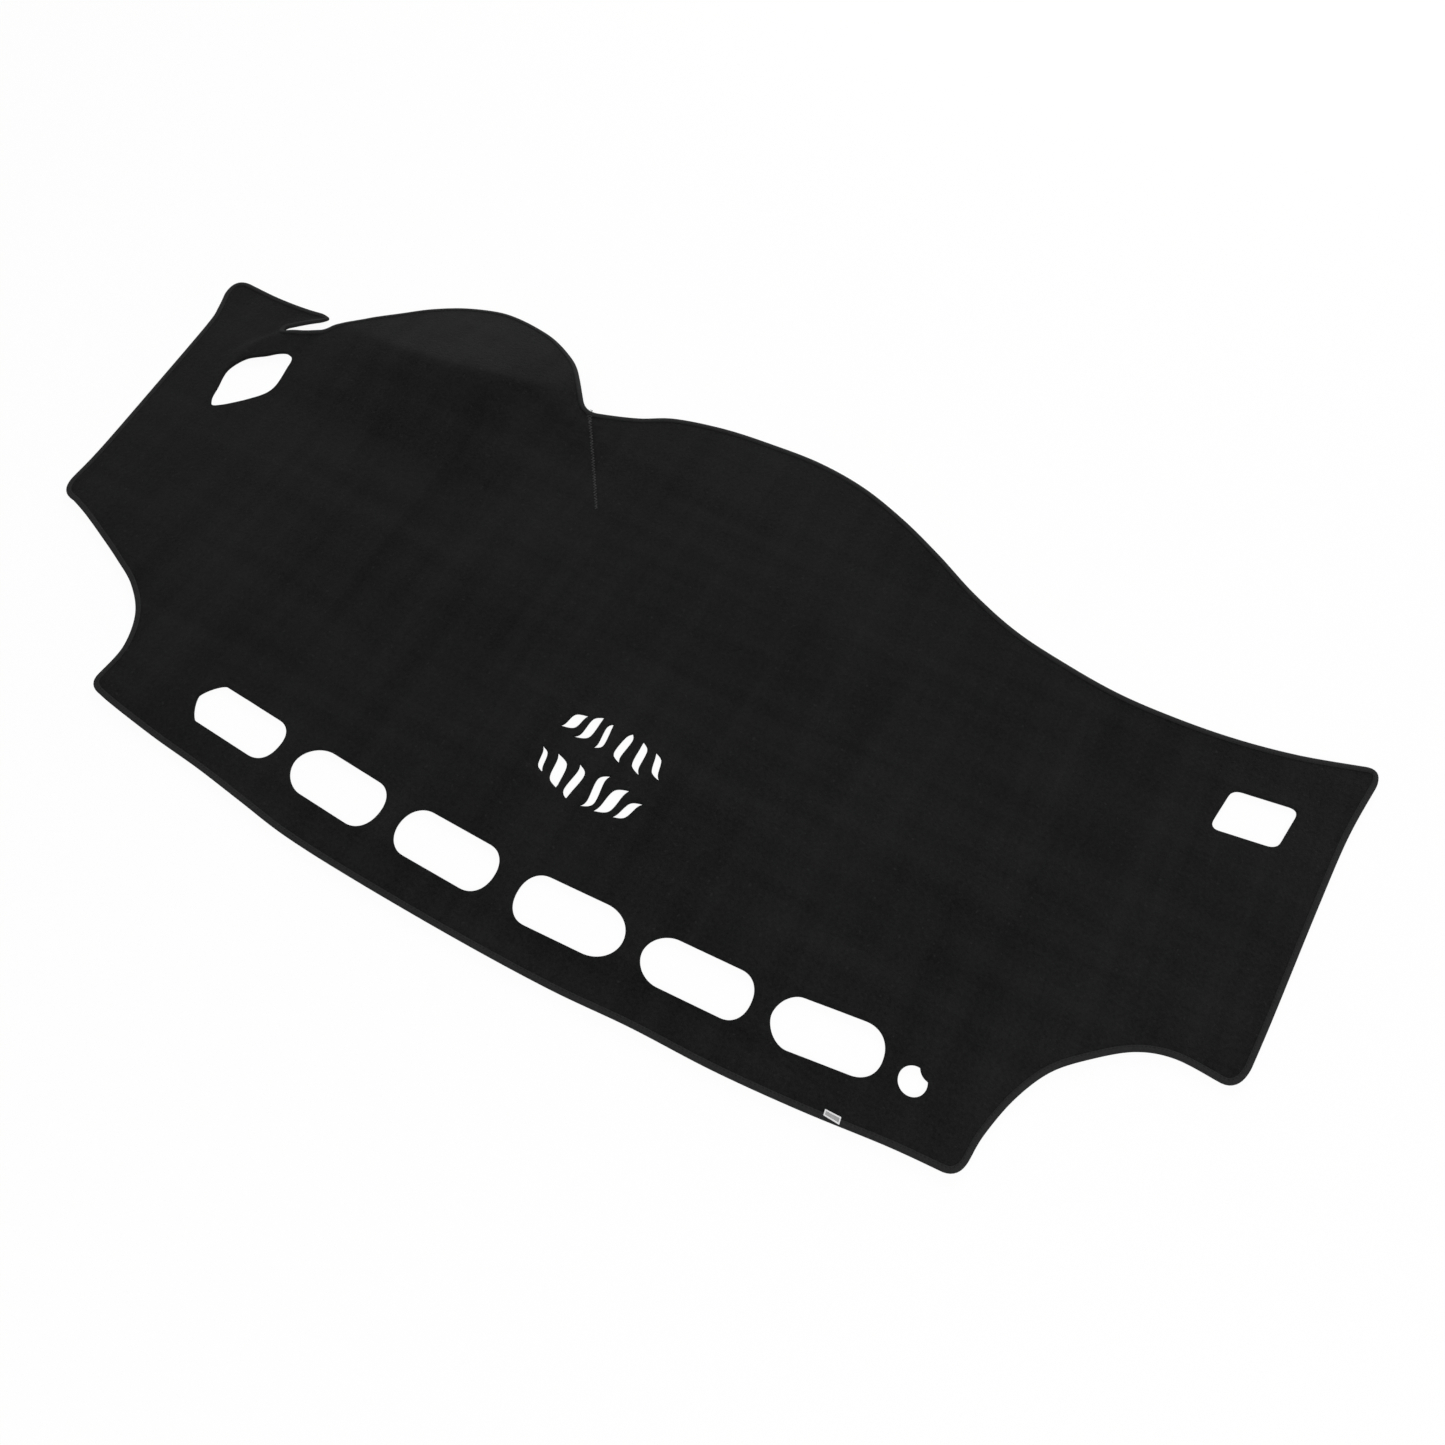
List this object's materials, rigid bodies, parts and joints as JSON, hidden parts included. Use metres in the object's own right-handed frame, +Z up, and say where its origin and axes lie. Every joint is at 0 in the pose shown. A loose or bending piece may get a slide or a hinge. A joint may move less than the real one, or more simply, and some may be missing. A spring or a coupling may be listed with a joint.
{
  "type": "dashboard cover mat",
  "caption": "Dashboard cover mat: a cut velour sheet with a bound edge, demister slots, a slit speaker grille, vent and sensor holes and a raised hood for the instruments.",
  "frame": {"origin": "on the floor, under the middle of the mat's bounding box", "axes": "+X along the windscreen, towards the end with the display window; +Y from the windscreen edge towards the seats; +Z up"},
  "size_m": [1.4288, 0.6716, 0.0427],
  "materials": {
    "velour": "matte cut pile",
    "binding": "matte woven tape",
    "tag": "matte woven"
  },
  "bodies": {
    "root": {"velour_sheet": "velour", "windscreen_binding": "binding", "left_pillar_binding": "binding", "right_pillar_binding": "binding", "left_end_binding": "binding", "side_slit_binding": "binding", "hood_left_binding": "binding", "hood_right_binding": "binding", "hood_foot_binding": "binding", "middle_seat_binding": "binding", "right_seat_binding": "binding", "right_end_binding": "binding", "sewn_tag": "tag"}
  },
  "joints": []
}
